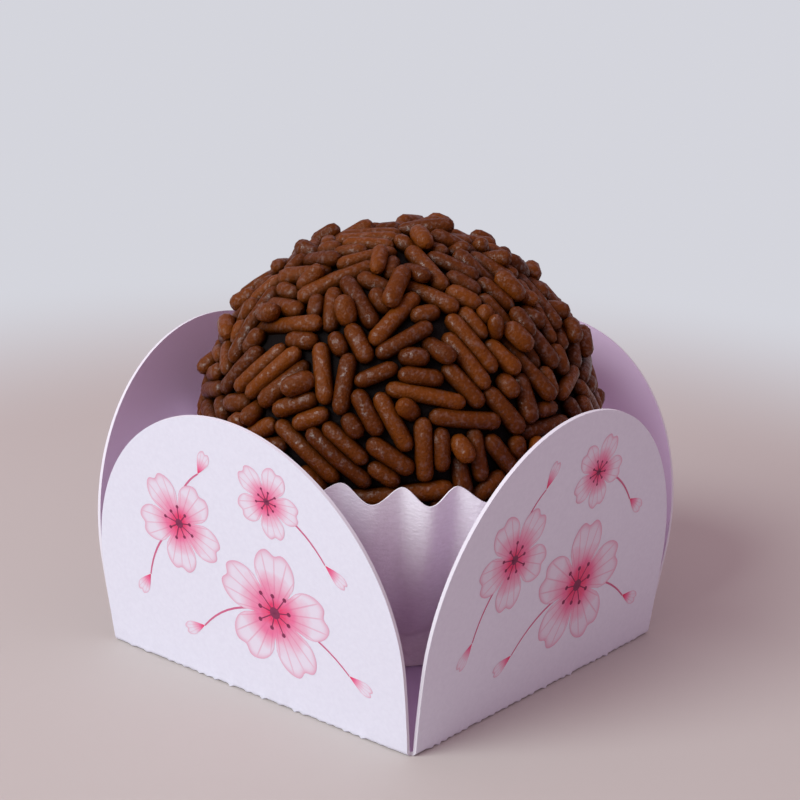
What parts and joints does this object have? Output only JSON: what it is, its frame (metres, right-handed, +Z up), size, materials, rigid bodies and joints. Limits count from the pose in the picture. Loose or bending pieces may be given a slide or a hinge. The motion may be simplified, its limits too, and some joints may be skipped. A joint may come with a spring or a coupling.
{
  "type": "flower candy cup",
  "caption": "Folded card cup with round-topped petals holding a fluted paper liner and a chocolate sweet coated in sprinkles.",
  "frame": {"origin": "centre of the underside of the card's square floor", "axes": "+Z up out of the cup; each petal stands on one side of the floor and faces -X, -Y, +Y or +X; the petal facing +X leans out most"},
  "size_m": [0.0412, 0.0372, 0.0326],
  "materials": {
    "card": "thin white card, printed outside in pale lilac with a spray of pink blossoms on each petal",
    "liner_paper": "thin pink-lilac fluted paper with a fine crepe grain",
    "chocolate": "dark fudge coated in satin milk-chocolate sprinkles"
  },
  "bodies": {
    "root": {"card_cup": "card", "fluted_liner": "liner_paper", "coated_sweet": "chocolate"}
  },
  "joints": []
}
